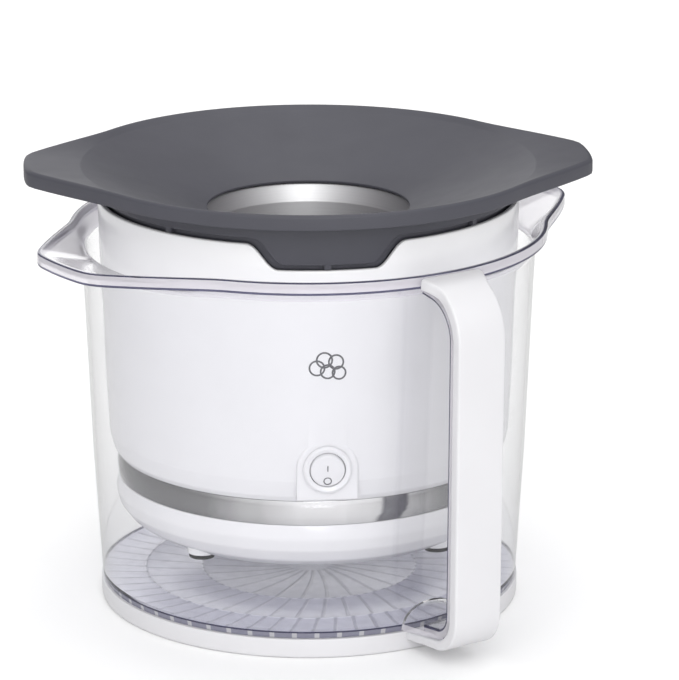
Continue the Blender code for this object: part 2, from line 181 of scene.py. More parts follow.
def skin(columns, on_axis=(), closed=True):
    """Vertices, faces and finishes of a skin through rings of points. Some rows may share one
    point. An open skin is closed by its first and last rings."""
    verts = []
    grid = []
    shared = {}
    for column in columns:
        line = []
        for row, (x, y, z, finish) in enumerate(column):
            if row in on_axis and row in shared:
                line.append(shared[row])
                continue
            shared[row] = len(verts)
            line.append(len(verts))
            verts.append((x, y, z))
        grid.append(line)
    faces = []
    finishes = []
    rows = len(grid[0])
    for k, here in enumerate(grid if closed else grid[:-1]):
        there = grid[(k + 1) % len(grid)]
        for row in range(rows):
            after = (row + 1) % rows
            corners = list(dict.fromkeys((here[row], there[row], there[after], here[after])))
            if len(corners) > 2:
                faces.append(corners)
                finishes.append(columns[k][row][3])
    if not closed:
        faces += [grid[0], grid[-1]]
        finishes += [columns[0][0][3], columns[-1][0][3]]
    return verts, faces, finishes


def turned(name, section_at, angles=EVEN, height=0.0, shape=None):
    """Turns a closed section of (radius, z, finish) points about Z. The section may change with
    the angle, and shape may move each (x, y, z) point."""
    columns = []
    first = section_at(angles[0])
    on_axis = [row for row, point in enumerate(first) if abs(point[0]) < 1e-6]
    for angle in angles:
        column = []
        for radius, z, finish in section_at(angle):
            x, y = radius * math.cos(angle), radius * math.sin(angle)
            if shape:
                x, y, z = shape(x, y, z)
            column.append((x, y, z, finish))
        columns.append(column)
    return to_piece(name, *skin(columns, on_axis), height)


def whole_size(s, z):
    return 1.0, 1.0


def swept(name, path, section, size_at=whole_size):
    """Sweeps a closed (out, across, finish) section along an (s, z) path in the handle's plane.
    size_at gives the section's share of thickness and of width at each point."""
    columns = []
    for k, (s, z) in enumerate(path):
        before = Vector(path[max(k - 1, 0)])
        after = Vector(path[min(k + 1, len(path) - 1)])
        along = (after - before).normalized()
        out = Vector((-along.y, along.x))
        thick_share, width_share = size_at(s, z)
        column = []
        for thick, across, finish in section:
            spot = Vector((s, z)) + out * thick * thick_share
            column.append((*in_handle_plane(spot.x, across * width_share, spot.y), finish))
        columns.append(column)
    return to_piece(name, *skin(columns, closed=False))


def in_handle_plane(s, across, z):
    c, d = math.cos(HANDLE_ANGLE), math.sin(HANDLE_ANGLE)
    return (s * c - across * d, s * d + across * c, z)


def rounded_box_section(thick, width, radius, steps):
    t, w = thick / 2, width / 2
    return filleted([(x, y, radius) for x, y in ((-t, -w), (t, -w), (t, w), (-t, w))], steps)


def arc(centre_x, centre_y, radius, start, end, steps):
    points = []
    for step in range(steps + 1):
        angle = math.radians(start + (end - start) * step / steps)
        points.append((centre_x + radius * math.cos(angle), centre_y + radius * math.sin(angle)))
    return points


def spaced(points, gap):
    """Adds points to the long stretches of a path."""
    made = [points[0]]
    for before, after in zip(points, points[1:]):
        pieces = max(1, round(math.dist(before, after) / gap))
        for k in range(1, pieces + 1):
            t = k / pieces
            made.append((before[0] + (after[0] - before[0]) * t, before[1] + (after[1] - before[1]) * t))
    return made


def around(radius, angle):
    return (radius * math.cos(angle), radius * math.sin(angle))


def smooth_step(low, high, value):
    t = min(max((value - low) / (high - low), 0.0), 1.0)
    return t * t * (3 - 2 * t)


def ear_reach_sharp(angle, axis, tip, blunt, hollow):
    off = abs((angle - axis + math.pi / 2) % math.pi - math.pi / 2)
    fall = min(max((off - blunt) / (EAR_END - blunt), 0.0), 1.0)
    return RIM_R + (tip - RIM_R) * (1 - fall) ** hollow


def ear_reach(angle, ears):
    """Radius of a rim that is round, with two opposite ears that end bluntly, corners rounded."""
    *shape, ease = ears
    shifts = [ease * k / 4 for k in range(-4, 5)]
    return sum(ear_reach_sharp(angle + shift, *shape) for shift in shifts) / len(shifts)


def notch_fill(x):
    """1 in the middle of the front notch and 0 beside it, as a share of its depth."""
    total = 0.0
    shifts = [0.5 * k for k in range(-5, 6)]
    for shift in shifts:
        half = NOTCH_HALF + NOTCH_SLOPE * (HOUSING_TOP - NOTCH_LOW)
        total += min(max((half - abs(x + shift)) / (half - NOTCH_HALF), 0.0), 1.0)
    return total / len(shifts)


def front_angles(half_degrees=25, step=0.4):
    """Angles round the circle, closer together over the front notch."""
    start = -90 - half_degrees
    dense = [start + step * k for k in range(round(2 * half_degrees / step))]
    rest_start = -90 + half_degrees
    rest_span = 360 - 2 * half_degrees
    count = round(rest_span / 1.9)
    coarse = [rest_start + rest_span * k / count for k in range(count)]
    return [math.radians(a) for a in dense + coarse]


def place(piece, body, slot, material, *nodes):
    if not piece.data.materials:
        piece.data.materials.append(material)
    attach(piece, body)
    if nodes:
        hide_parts(*nodes)
    return piece


def combine(piece, other, operation):
    """Joins a closed piece with another, or cuts the other out of it, and uses the other up."""
    modifier = piece.modifiers.new("combine", 'BOOLEAN')
    modifier.operation = operation
    modifier.solver = 'EXACT'
    modifier.object = other
    bpy.context.view_layer.update()
    shape = piece.evaluated_get(bpy.context.evaluated_depsgraph_get())
    mesh = bpy.data.meshes.new_from_object(shape)
    piece.modifiers.clear()
    piece.data = mesh
    bpy.data.objects.remove(other, do_unlink=True)


def union(piece, *others):
    """Joins closed pieces into one skin."""
    for other in others:
        combine(piece, other, 'UNION')
    smooth(piece.data)
    return piece


# --- materials --------------------------------------------------------------------------------

# Painted shade: the floor is opaque, and these lavender greys stand in for the shaded white base seen
# through the clear floor.
FLOOR_DARK = (0.34, 0.34, 0.415)
FLOOR_MIDDLE = (0.78, 0.78, 0.865)
FLOOR_LIGHT = (0.95, 0.95, 0.98)
# Painted reflection: the lug band's lavender grey between its light lugs.
BAND_PAINTED_REFLECTION = (0.40, 0.40, 0.51)
LUG_LIGHT = (0.85, 0.85, 0.90)


class Nodes:
    """A material's nodes, with short calls for adding and linking them."""

    def __init__(self, name):
        self.material = bpy.data.materials.new(name)
        self.material.use_nodes = True
        self.tree = self.material.node_tree
        self.shader = self.tree.nodes["Principled BSDF"]
        self.output = self.tree.nodes["Material Output"]

    def add(self, kind, **settings):
        made = self.tree.nodes.new(kind)
        for key, value in settings.items():
            if hasattr(made, key):
                setattr(made, key, value)
            else:
                made.inputs[key.replace("_", " ").title()].default_value = value
        return made

    def link(self, source, target):
        self.tree.links.new(source, target)

    def math(self, operation, first, second=None):
        made = self.add("ShaderNodeMath", operation=operation)
        for socket, value in zip(made.inputs, (first, second)):
            if value is None:
                continue
            if isinstance(value, (int, float)):
                socket.default_value = value
            else:
                self.link(value, socket)
        return made.outputs[0]

    def ramp(self, source, *stops):
        made = self.add("ShaderNodeValToRGB")
        ramp = made.color_ramp
        while len(ramp.elements) < len(stops):
            ramp.elements.new(0.5)
        for element, (position, colour) in zip(ramp.elements, stops):
            element.position = position
            element.color = colour if len(colour) == 4 else (*colour, 1.0)
        self.link(source, made.inputs[0])
        return made.outputs[0]

    def noise(self, scale, detail=3.0, stretch=(1, 1, 1), vector=None):
        if vector is None:
            vector = self.add("ShaderNodeTexCoord").outputs["Object"]
        mapping = self.add("ShaderNodeMapping")
        mapping.inputs["Scale"].default_value = stretch
        self.link(vector, mapping.inputs["Vector"])
        made = self.add("ShaderNodeTexNoise")
        made.inputs["Scale"].default_value = scale
        made.inputs["Detail"].default_value = detail
        self.link(mapping.outputs[0], made.inputs["Vector"])
        return made.outputs[0]

    def turned_vector(self):
        """(radius, 0, height) of a point, for marks that run round the axis."""
        place_at = self.add("ShaderNodeTexCoord").outputs["Object"]
        split = self.add("ShaderNodeSeparateXYZ")
        self.link(place_at, split.inputs[0])
        flat = self.add("ShaderNodeCombineXYZ")
        self.link(split.outputs[0], flat.inputs[0])
        self.link(split.outputs[1], flat.inputs[1])
        length = self.add("ShaderNodeVectorMath", operation='LENGTH')
        self.link(flat.outputs[0], length.inputs[0])
        made = self.add("ShaderNodeCombineXYZ")
        self.link(length.outputs["Value"], made.inputs[0])
        self.link(split.outputs[2], made.inputs[2])
        return made.outputs[0]

    def set(self, **values):
        for key, value in values.items():
            socket = self.shader.inputs[key.replace("_", " ")]
            socket.default_value = (*value, 1.0) if isinstance(value, tuple) else value

    def colour_by_noise(self, source, low, high):
        self.link(self.ramp(source, (0.3, low), (0.7, high)), self.shader.inputs["Base Color"])

    def roughness_by_noise(self, source, low, high):
        made = self.add("ShaderNodeMapRange")
        made.inputs["To Min"].default_value = low
        made.inputs["To Max"].default_value = high
        self.link(source, made.inputs["Value"])
        self.link(made.outputs[0], self.shader.inputs["Roughness"])

    def bump(self, source, depth_mm, strength=1.0):
        made = self.add("ShaderNodeBump")
        made.inputs["Distance"].default_value = depth_mm * MM
        made.inputs["Strength"].default_value = strength
        self.link(source, made.inputs["Height"])
        self.link(made.outputs[0], self.shader.inputs["Normal"])


def shade(colour, factor):
    return tuple(min(c * factor, 1.0) for c in colour)


def moulded(name, colour, roughness, grain_mm=0.25, depth=0.01, spread=0.03, coat=0.0):
    """Moulded plastic: slight mottling, uneven gloss and a fine grain."""
    n = Nodes(name)
    mottling = n.noise(35.0)
    n.colour_by_noise(mottling, shade(colour, 1 - spread), shade(colour, 1 + spread))
    n.roughness_by_noise(n.noise(90.0), roughness - 0.05, roughness + 0.05)
    n.bump(n.noise(1.0 / (grain_mm * MM), 2.0), depth)
    n.set(Coat_Weight=coat, Coat_Roughness=0.08, IOR=1.5)
    return n.material


def metal(name, colour, roughness, brushed=True, depth=0.006):
    """Metal with marks that run round the axis when brushed."""
    n = Nodes(name)
    n.set(Metallic=1.0)
    if brushed:
        lines = n.noise(2500.0, 4.0, (1, 1, 1), n.turned_vector())
    else:
        lines = n.noise(400.0)
    n.colour_by_noise(lines, shade(colour, 0.94), shade(colour, 1.05))
    n.roughness_by_noise(lines, roughness - 0.04, roughness + 0.06)
    n.bump(lines, depth)
    return n.material


def chamber_metal():
    """Satin aluminium with fine lines round the axis, with a painted reflection: darker to the left and
    right.
    """
    n = Nodes("chamber_metal")
    turn = polar(n)[1]
    lines = n.noise(2500.0, 4.0, (1, 1, 1), n.turned_vector())
    # painted reflection: the colour darkens towards the left and right
    side = n.math('ABSOLUTE', n.math('COSINE', turn))
    level = n.math('ADD', n.math('MULTIPLY', side, 0.9), n.math('MULTIPLY', lines, 0.1))
    tone = n.ramp(level, (0.15, (0.86, 0.86, 0.87)), (0.7, (0.5, 0.49, 0.51)), (1.0, (0.3, 0.295, 0.31)))
    n.link(tone, n.shader.inputs["Base Color"])
    n.roughness_by_noise(lines, 0.44, 0.54)
    n.bump(lines, 0.003)
    n.set(Metallic=0.8)
    return n.material


def polished_band():
    """Polished steel with a painted reflection: soft upright streaks, brightest at the front and the back,
    dark at the sides.
    """
    n = Nodes("polished_band")
    turn = polar(n)[1]
    # painted reflection: near white at the front and back, dark at the sides, with upright streaks
    side = n.math('ABSOLUTE', n.math('COSINE', turn))
    reflection_streaks = n.noise(3.0, 2.0, (14.0, 14.0, 1.0))
    level = n.math('ADD', n.math('MULTIPLY', side, 0.9), n.math('MULTIPLY', reflection_streaks, 0.25))
    tone = n.ramp(level, (0.25, (0.98, 0.975, 0.99)), (0.68, (0.32, 0.32, 0.33)), (1.0, (0.2, 0.2, 0.21)))
    n.link(tone, n.shader.inputs["Base Color"])
    n.bump(n.noise(6.0, 1.0, (1.0, 1.0, 9.0)), 0.05)
    n.set(Metallic=1.0, Roughness=0.13)
    return n.material


def let_through(n, tint):
    """Lets light pass the clear plastic to what is behind it, as the real one does."""
    path = n.add("ShaderNodeLightPath")
    lit = n.math('MAXIMUM', path.outputs["Is Shadow Ray"], path.outputs["Is Diffuse Ray"])
    open_way = n.add("ShaderNodeBsdfTransparent")
    open_way.inputs[0].default_value = (*tint, 1.0)
    mix = n.add("ShaderNodeMixShader")
    n.link(lit, mix.inputs[0])
    n.link(n.shader.outputs[0], mix.inputs[1])
    n.link(open_way.outputs[0], mix.inputs[2])
    n.link(mix.outputs[0], n.output.inputs["Surface"])


def clear_plastic(name, colour, share, roughness=0.03):
    """Clear plastic; a share under 1 makes it partly opaque in its own colour."""
    n = Nodes(name)
    n.colour_by_noise(n.noise(25.0), shade(colour, 0.99), shade(colour, 1.01))
    n.roughness_by_noise(n.noise(60.0), roughness - 0.015, roughness + 0.015)
    n.bump(n.noise(30.0, 1.0), 0.02)
    n.set(Transmission_Weight=share, IOR=1.45)
    let_through(n, (0.95, 0.95, 0.965))
    return n.material


def polar(n):
    """Radius in mm and turn in radians of a point about the upright axis."""
    split = n.add("ShaderNodeSeparateXYZ")
    n.link(n.add("ShaderNodeTexCoord").outputs["Object"], split.inputs[0])
    x, y = split.outputs[0], split.outputs[1]
    square = n.math('ADD', n.math('MULTIPLY', x, x), n.math('MULTIPLY', y, y))
    return n.math('DIVIDE', n.math('SQRT', square), MM), n.math('ARCTAN2', y, x)


def stripes(n, radius, turn, count, width, lean=0.0):
    """1 along count thin lines of that width in mm that run outward and lean, 0 between them."""
    slant = n.math('ADD', turn, n.math('MULTIPLY', n.math('LOGARITHM', radius, math.e), lean))
    wave = n.math('FRACT', n.math('MULTIPLY', slant, count / math.tau))
    away = n.math('ABSOLUTE', n.math('SUBTRACT', wave, 0.5))
    gap = n.math('MULTIPLY', n.math('MULTIPLY', away, radius), math.tau / count)
    near = n.math('SUBTRACT', 1.0, n.math('DIVIDE', gap, width / 2))
    return n.math('MAXIMUM', n.math('MINIMUM', n.math('MULTIPLY', near, 2.0), 1.0), 0.0)


def ring(n, radius, middle, width):
    """1 along a circle of that width in mm, fading to 0 beside it."""
    away = n.math('ABSOLUTE', n.math('SUBTRACT', radius, middle))
    near = n.math('SUBTRACT', 1.0, n.math('DIVIDE', away, width / 2))
    return n.math('MAXIMUM', near, 0.0)


def inside(n, radius, low, high):
    """1 between two radii in mm and 0 elsewhere."""
    return n.math('MULTIPLY', n.math('GREATER_THAN', radius, low), n.math('LESS_THAN', radius, high))


def patterned_floor():
    """The bowl's floor: three zones of leaning grooves with light rings between them, in painted shade."""
    n = Nodes("clear_floor")
    radius, turn = polar(n)
    outer = stripes(n, radius, turn, LUGS, 1.8, GROOVE_LEAN)
    grooves = n.math('MULTIPLY', outer, inside(n, radius, 75.4, 93.0))
    for low, high, count in ((49.6, 74.4, 40), (10.0, 48.4, 26)):
        lines = stripes(n, radius, turn, count, 1.9, GROOVE_LEAN)
        zone = n.math('MULTIPLY', lines, inside(n, radius, low, high))
        grooves = n.math('ADD', grooves, zone)
    rings = n.math('ADD', ring(n, radius, 75.0, 1.3), ring(n, radius, 49.0, 1.3))
    shine = n.noise(45.0, 3.0)
    height = n.math('ADD', n.math('SUBTRACT', rings, grooves), n.math('MULTIPLY', shine, 0.5))
    crossings = n.math('MULTIPLY', rings, stripes(n, radius, turn, LUGS, 3.0, GROOVE_LEAN))
    level = n.math('ADD', n.math('MULTIPLY', height, 0.16), 0.32)
    level = n.math('SUBTRACT', level, n.math('MULTIPLY', crossings, 0.5))
    # painted shade: the outer zone, out from 75.4 mm, is darker
    level = n.math('SUBTRACT', level, n.math('MULTIPLY', inside(n, radius, 75.4, 95.0), 0.13))
    level = n.math('ADD', level, n.math('MULTIPLY', n.noise(190.0, 4.0), 0.3))
    tone = n.ramp(level, (0.1, FLOOR_DARK), (0.58, FLOOR_MIDDLE), (0.95, FLOOR_LIGHT))
    n.link(tone, n.shader.inputs["Base Color"])
    n.bump(height, 0.35)
    n.set(Roughness=0.3, IOR=1.45)
    return n.material


def lug_band():
    """The clear band above the base, through which its light lugs show; the lavender grey between them is a
    painted reflection.
    """
    n = Nodes("clear_lug_band")
    radius, turn = polar(n)
    lugs = stripes(n, radius, turn, LUGS, 2.6)
    n.link(n.ramp(lugs, (0.1, BAND_PAINTED_REFLECTION), (0.6, LUG_LIGHT)), n.shader.inputs["Base Color"])
    n.set(Transmission_Weight=0.5, Roughness=0.1, IOR=1.45)
    let_through(n, (0.9, 0.9, 0.93))
    return n.material


WHITE = moulded("white_housing", (0.80, 0.797, 0.81), 0.22, coat=0.4, spread=0.012, depth=0.002)
WHITE_SATIN = moulded("white_base", (0.675, 0.67, 0.69), 0.36, coat=0.2, spread=0.012, depth=0.003)
CLEAR = (
    clear_plastic("clear_wall", (0.945, 0.945, 0.95), 1.0),
    # clear_rim and clear_edge are painted reflections: the lavender grey and dark navy lines along the
    # clear plastic's edges
    clear_plastic("clear_rim", (0.72, 0.70, 0.745), 0.52, 0.09),
    clear_plastic("clear_edge", (0.055, 0.055, 0.11), 0.55, 0.08),
    patterned_floor(),
    lug_band(),
)
GREY = moulded("grey_tray", (0.059, 0.059, 0.074), 0.52, grain_mm=0.35, depth=0.012, spread=0.04)
DARK = moulded("dark_plastic", (0.025, 0.025, 0.028), 0.5)
RUBBER = moulded("rubber", (0.02, 0.02, 0.022), 0.75, grain_mm=0.5, depth=0.03)
INK = moulded("grey_ink", (0.10, 0.10, 0.11), 0.4)
BAND = polished_band()
CHAMBER = chamber_metal()
STEEL = metal("steel", (0.5, 0.5, 0.52), 0.38, brushed=False)
MICA = moulded("mica", (0.55, 0.45, 0.30), 0.6, spread=0.12, depth=0.02)
WIRE = metal("heater_wire", (0.32, 0.27, 0.24), 0.45, brushed=False)
BOARD = moulded("board", (0.28, 0.18, 0.07), 0.55, spread=0.08)
LEAD = moulded("lead_cover", (0.7, 0.7, 0.66), 0.55, grain_mm=0.6, depth=0.05)


# --- bowl and base ----------------------------------------------------------------------------

def bowl_section(angle):
    rim = ear_reach(angle, BOWL_EARS)
    low = RIM_TOP - RIM_SKIRT
    floor_low = BASE_H + 0.3
    ridges = [(r, FLOOR_TOP - 0.6 + lift, 0, PATTERN) for r, lift in (
        (0.0, 0.2), (48.2, 0.2), (48.7, 0.4), (49.3, 0.4), (49.8, 0.2), (74.2, 0.2), (74.7, 0.4),
        (75.3, 0.4), (75.8, 0.2), (92.8, 0.2),
    )]
    return filleted(ridges + [
        (94.0, FLOOR_TOP - 0.2, 0.2), (94.4, 13.4, 0.4), (96.5, 70.0, 0), (99.4, 150.0, 0),
        (99.9, WALL_TOP, 4.5, PAINTED_GREY_EDGE), (rim - 2.2, RIM_TOP - 0.15, 0.5, PAINTED_GREY_EDGE),
        (rim - 1.3, RIM_TOP - 0.04, 0, PAINTED_DARK_LINE), (rim - 0.5, RIM_TOP, 0, PAINTED_DARK_LINE),
        (rim, RIM_TOP - 0.5, 0, PAINTED_GREY_EDGE), (rim, low + 1.1, 0, PAINTED_DARK_LINE), (rim, low, 0.4, PAINTED_DARK_LINE),
        (rim - 2.0, low, 0.4), (rim - 2.2, RIM_TOP - 2.6, 0.8), (102.3, WALL_TOP - 2.0, 6.0),
        (101.6, 150.0, 0), (98.4, 70.0, 0), (95.05, 12.4, 0, PAINTED_DARK_LINE), (95.0, 11.6, 0.3, SIDE),
        (94.4, floor_low, 0.2), (92.9, floor_low, 0), (92.9, 4.4, 0), (91.2, 4.4, 0),
        (91.2, floor_low, 0), (0.0, floor_low, 0),
    ])


def bends(inset, steps=14):
    """The grip's line from rim to foot, set in from its outer face."""
    top_x, top_z, top_r = TOP_BEND
    foot_x, foot_z, foot_r = FOOT_BEND
    upper = arc(top_x, top_z, top_r - inset, 84, 0, steps)
    lower = arc(foot_x, foot_z, foot_r - inset, 0, -75, steps)
    return upper + lower


def grip_size(s, z):
    """The grip widens where it leaves the rim and thins along its lower arm."""
    if z > RIM_TOP / 2:
        return 1.0, 1 + 0.26 * smooth_step(120.0, 109.0, s)
    return 1 - 0.26 * smooth_step(127.0, 112.0, s), 1.0


def make_bowl():
    angles = [math.tau * k / 240 for k in range(240)]
    bowl = turned("clear_bowl", bowl_section, angles)
    path = [(103.0, 166.6)] + bends(GRIP_PLATE + 0.4 + STRAP_PLATE / 2) + [(106.0, 12.8)]
    t, w = STRAP_PLATE / 2, STRAP_W / 2
    section = filleted([
        (-t, -w, 0.7, PAINTED_DARK_LINE), (1.0 - t, -w, 0, PAINTED_GREY_EDGE), (t, -w, 0.5, PAINTED_GREY_EDGE), (t, 1.5 - w, 0, WALL),
        (t, w - 1.5, 0, PAINTED_GREY_EDGE), (t, w, 0.5, PAINTED_GREY_EDGE), (1.0 - t, w, 0, PAINTED_DARK_LINE), (-t, w, 0.7, WALL),
    ])
    strap = swept("strap", spaced(path, 6.0), section)
    for piece in (bowl, strap):
        for material in CLEAR:
            piece.data.materials.append(material)
    place(union(bowl, strap), "bowl", "clear_plastic", CLEAR[WALL], "serving_bowl")


def arch_section(s):
    """The lower arm of the clear strap at a distance from the axis: a low arch, narrower outward."""
    share = smooth_step(94.0, 119.0, s)
    half = 15.5 - 5.4 * share
    top = 11.6 - 5.6 * share
    base = 10.3 + 0.05 * (s - 94.0)
    thick = 2.0
    outer = []
    inner = []
    for step in range(17):
        turn = math.pi * step / 16
        edge = PAINTED_GREY_EDGE if step in (0, 15, 16) else WALL
        outer.append((half * math.cos(turn), base + top * math.sin(turn) ** 0.85, edge))
        inner.append(((half - thick) * math.cos(turn), base + (top - thick) * math.sin(turn) ** 0.85, WALL))
    return outer + inner[::-1]


def make_foot_arch():
    columns = []
    for step in range(15):
        s = 95.6 + 23.4 * step / 14
        columns.append([(*in_handle_plane(s, across, z), finish) for across, z, finish in arch_section(s)])
    verts, faces, finishes = skin(columns, closed=False)
    faces, finishes = faces[:-2], finishes[:-2]
    rows = len(columns[0])
    for start in (0, len(verts) - rows):
        for k in range(16):
            faces.append([start + k, start + k + 1, start + rows - 2 - k, start + rows - 1 - k])
            finishes.append(WALL)
    arch = to_piece("clear_foot_arch", verts, faces, finishes)
    for material in CLEAR:
        arch.data.materials.append(material)
    place(arch, "bowl", "clear_plastic", CLEAR[WALL])


def make_base():
    section = filleted([
        (0.0, 0.0, 0), (BASE_R, 0.0, 1.6), (BASE_R, BASE_H, 0.5), (BASE_R - 2.2, BASE_H, 0.3),
        (BASE_R - 2.2, 2.0, 0.4), (0.0, 2.0, 0),
    ])
    ring = turned("white_base", lambda angle: section, [math.tau * k / 240 for k in range(240)])
    path = bends(GRIP_PLATE / 2) + [(106.0, 8.0), (94.2, 6.6)]
    path[0] = (path[0][0] - 0.2, path[0][1])
    grip_section = rounded_box_section(GRIP_PLATE, GRIP_W, 1.3, steps=6)
    grip = swept("grip", spaced(path, 5.0), grip_section, grip_size)
    place(union(ring, grip), "bowl", "white_plastic", WHITE_SATIN, "base_and_handle")


# --- popper -----------------------------------------------------------------------------------

def housing_section(angle):
    x = HOUSING_R * math.cos(angle) if math.sin(angle) < 0 else 200.0
    top = HOUSING_TOP - (HOUSING_TOP - NOTCH_LOW) * notch_fill(x)
    wall = HOUSING_WALL
    high_r = 94.0 + (HOUSING_R - 94.0) * (top - 125.3) / (HOUSING_TOP - 125.3)
    return filleted([
        (85.2, BAND_TOP, 0.3), (86.9, BAND_TOP, 0.5), (88.8, BAND_TOP + 2.6, 2.5), (90.6, 45.3, 6.0),
        (92.0, 76.0, 0), (92.8, 107.3, 0), (94.0, 125.3, 0), (high_r, top, 0.9),
        (high_r - wall, top, 0.7), (94.0 - wall, 125.3, 0), (92.8 - wall, 107.3, 0),
        (92.0 - wall, 76.0, 0), (90.6 - wall, 45.3, 3.0), (86.0, BAND_TOP + 3.4, 0.5),
        (85.2, BAND_TOP + 2.0, 0.3),
    ])


def make_housing():
    housing = turned("white_housing", housing_section, front_angles(), FEET_Z)
    outline = [(-PAD_HALF, BAND_TOP - SWITCH_Z + 1.8), (PAD_HALF, BAND_TOP - SWITCH_Z + 1.8)]
    outline += arc(0, 0, PAD_HALF, 0, 180, 40)
    pad = pillow("pad", outline, 87.4, PAD_FACE, 1.4)
    union(housing, pad)
    cut_round(housing, 9.9, SWITCH_Z + FEET_Z, -1)
    cut_round(housing, 6.3, GLAND_Z + FEET_Z, 1)
    place(housing, "popper", "white_plastic", WHITE, "housing")


def pillow(name, outline, back, face, soft):
    """A plate on the front whose face has a soft edge."""
    layers = [(back, 0.0)]
    for step in range(7):
        turn = math.pi / 2 * step / 6
        layers.append((face - soft * 0.5 * (1 - math.sin(turn)), soft * (1 - math.cos(turn))))
    verts = []
    faces = []
    count = len(outline)
    for depth, inset in layers:
        for x, z in outline:
            length = math.hypot(x, z)
            share = (length - inset) / length
            verts.append((x * share, -depth, SWITCH_Z + z * share))
    for layer in range(len(layers) - 1):
        for k in range(count):
            after = (k + 1) % count
            a, b = layer * count, (layer + 1) * count
            faces.append([a + k, a + after, b + after, b + k])
    faces.append(list(range(count)))
    faces.append(list(range(len(verts) - count, len(verts))))
    return to_piece(name, verts, faces, height=FEET_Z)


def cut_round(piece, radius, height, side):
    """A round hole through the wall at the front (side -1) or the back (side 1)."""
    bm = bmesh.new()
    lay = Matrix.Rotation(math.radians(90), 4, 'X')
    spot = Matrix.Translation((0, side * 90 * MM, height * MM))
    bmesh.ops.create_cone(bm, cap_ends=True, segments=64, radius1=radius * MM, radius2=radius * MM,
                          depth=20 * MM, matrix=spot @ lay)
    mesh = bpy.data.meshes.new("drill")
    bm.to_mesh(mesh)
    bm.free()
    drill = bpy.data.objects.new("drill", mesh)
    bpy.context.scene.collection.objects.link(drill)
    combine(piece, drill, 'DIFFERENCE')
    smooth(piece.data)


def make_band():
    section = filleted([
        (85.1, PAN_TOP + 0.2, 0), (86.5, PAN_TOP + 0.2, 0.2), (87.05, 27.6, 1.0), (87.15, 30.0, 1.0),
        (87.0, 32.4, 1.0), (86.6, BAND_TOP - 0.2, 0.2), (85.1, BAND_TOP - 0.2, 0),
    ])
    place(turned("polished_band", lambda angle: section, height=FEET_Z), "popper", "polished_metal",
          BAND, "trim_band")


def make_pan():
    section = filleted([
        (0.0, 1.8, 0), (70.0, 1.8, 0), (74.8, 1.9, 2.0), (82.4, 6.3, 8.0), (86.6, 12.0, 5.0),
        (88.0, 17.6, 5.0), (86.6, PAN_TOP, 0.6), (84.7, PAN_TOP, 0.2), (84.7, 39.0, 0.4),
        (82.4, 39.0, 0.4), (82.4, PAN_TOP, 0), (84.6, 18.0, 2.0), (80.0, 9.4, 2.0), (74.4, 4.3, 0),
        (0.0, 4.3, 0),
    ])
    pan = turned("white_pan", lambda angle: section, height=FEET_Z)
    bosses = [turned_at("boss", [(0.0, 2.0, 0), (6.5, 2.0, 0.6), (6.7, 9.0, 0), (0.0, 9.0, 0)], spot)
              for spot in foot_spots()]
    union(pan, *bosses)
    place(pan, "popper", "white_plastic", WHITE, "base_pan")


def foot_spots():
    return [around(FOOT_PLACE_R, math.radians(45 + 90 * k)) for k in range(4)]


def turned_at(name, outline, spot):
    """A small turned piece on an upright axis away from the middle."""
    section = filleted(outline)
    angles = [math.tau * k / 48 for k in range(48)]

    def shift(x, y, z):
        return (x + spot[0], y + spot[1], z)
    return turned(name, lambda angle: section, angles, FEET_Z, shift)


def make_feet():
    for number, spot in enumerate(foot_spots(), start=1):
        outline = [(0.0, 0.0, 0), (5.6, 0.0, 0.5), (6.0, 1.7, 0.3), (0.0, 1.7, 0)]
        place(turned_at(f"rubber_foot_{number}", outline, spot), "popper", "rubber", RUBBER,
              f"foot_{number}")


def chamber_section(angle):
    r = CHAMBER_R
    return filleted([
        (0.0, 79.4, 0), (20.0, 78.4, 0), (40.6, 76.2, 3.0), (r, 79.2, 2.0), (r, 100.0, 0),
        (r, 137.0, 1.6), (46.9, CHAMBER_TOP - 0.2, 1.0), (50.5, CHAMBER_TOP, 0.3),
        (50.5, 144.1, 0.3), (47.7, 143.9, 0.5), (r + 1.2, 138.4, 1.0), (r + 1.2, 100.0, 0),
        (r + 1.2, 78.2, 1.0), (41.2, 75.0, 1.0), (20.0, 77.2, 0), (0.0, 78.2, 0),
    ])


def make_chamber():
    chamber = turned("chamber", chamber_section, height=FEET_Z)
    place(chamber, "popper", "chamber_metal", CHAMBER, "popping_chamber")


def make_gland():
    section = filleted([
        (3.4, 84.0, 0.2), (8.0, 84.0, 0.3), (8.0, 86.0, 0.3), (6.0, 86.0, 0.2), (6.0, 91.6, 0.2),
        (7.6, 91.6, 0.4), (7.2, 94.3, 0.6), (3.4, 94.3, 0.5),
    ])
    place(laid("gland", section, 1, GLAND_Z), "popper", "dark_plastic", DARK, "cord_gland")


def laid(name, section, side, height):
    """A piece turned about a level axis through the front (side -1) or the back (side 1)."""
    angles = [math.tau * k / 64 for k in range(64)]

    def lay(x, y, z):
        return (x, side * z, height - side * y)
    return turned(name, lambda angle: section, angles, FEET_Z, lay)


# --- switch -----------------------------------------------------------------------------------

def make_switch():
    bezel = filleted([
        (7.85, 84.0, 0.1), (9.6, 84.0, 0.1), (9.6, PAD_FACE + 0.3, 0.1), (10.6, PAD_FACE + 0.3, 0.2),
        (10.6, 92.2, 0.4), (9.6, 92.9, 0.5), (7.85, 92.4, 0.4),
    ])
    place(laid("switch_ring", bezel, -1, SWITCH_Z), "popper", "white_plastic", WHITE, "switch_bezel")
    make_rocker()


def rocker_matrix():
    spot = Matrix.Translation((0, -ROCKER_AXIS * MM, (SWITCH_Z + FEET_Z) * MM))
    return spot @ Matrix.Rotation(ROCKER_TILT, 4, 'X')


